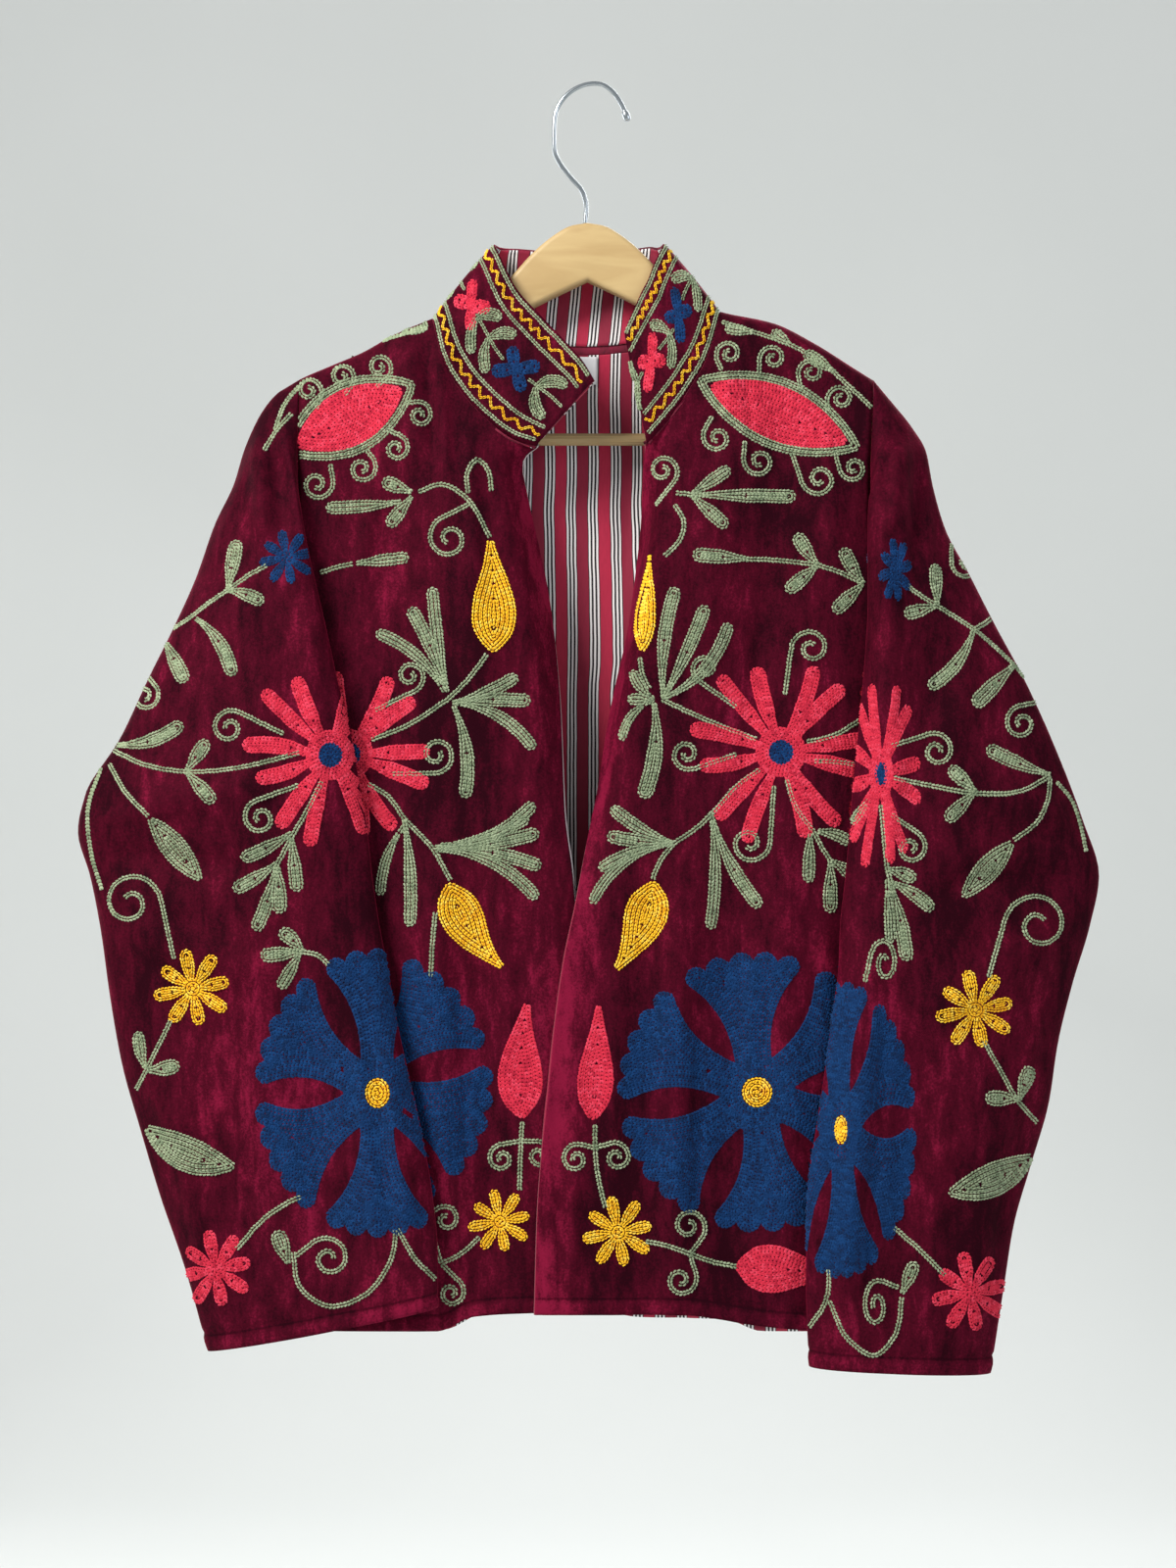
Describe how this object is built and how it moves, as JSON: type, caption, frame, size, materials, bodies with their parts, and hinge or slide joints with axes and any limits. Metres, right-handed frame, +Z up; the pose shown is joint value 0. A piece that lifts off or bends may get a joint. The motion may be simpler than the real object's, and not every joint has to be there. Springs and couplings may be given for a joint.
{
  "type": "embroidered velvet suzani jacket on a hanger",
  "caption": "Maroon velvet jacket with a stand collar and chain-stitched flowers, hung open on a wooden hanger so that its striped cotton lining shows.",
  "frame": {"origin": "inner top of the hanger's hook wire, where the hook rests on what holds it", "axes": "+Z up, -Y the garment's front, +X to the viewer's right, which is the wearer's left"},
  "size_m": [0.662, 0.0851, 0.839],
  "materials": {
    "velvet": "cotton velvet, matt with a soft sheen",
    "striped_cotton": "woven cotton, matt, striped",
    "label_tape": "smooth satin tape, blank",
    "hanger_wood": "clear satin lacquer",
    "hook_wire": "bright plated wire"
  },
  "bodies": {
    "root": {"front_right": "velvet", "front_left": "velvet", "back": "velvet", "back_lining": "striped_cotton", "neck_label": "label_tape", "collar": "velvet", "collar_lining": "striped_cotton", "sleeve_right": "velvet", "sleeve_left": "velvet", "hanger_arms": "hanger_wood", "hanger_bar": "hanger_wood", "hanger_hook": "hook_wire"}
  },
  "joints": []
}
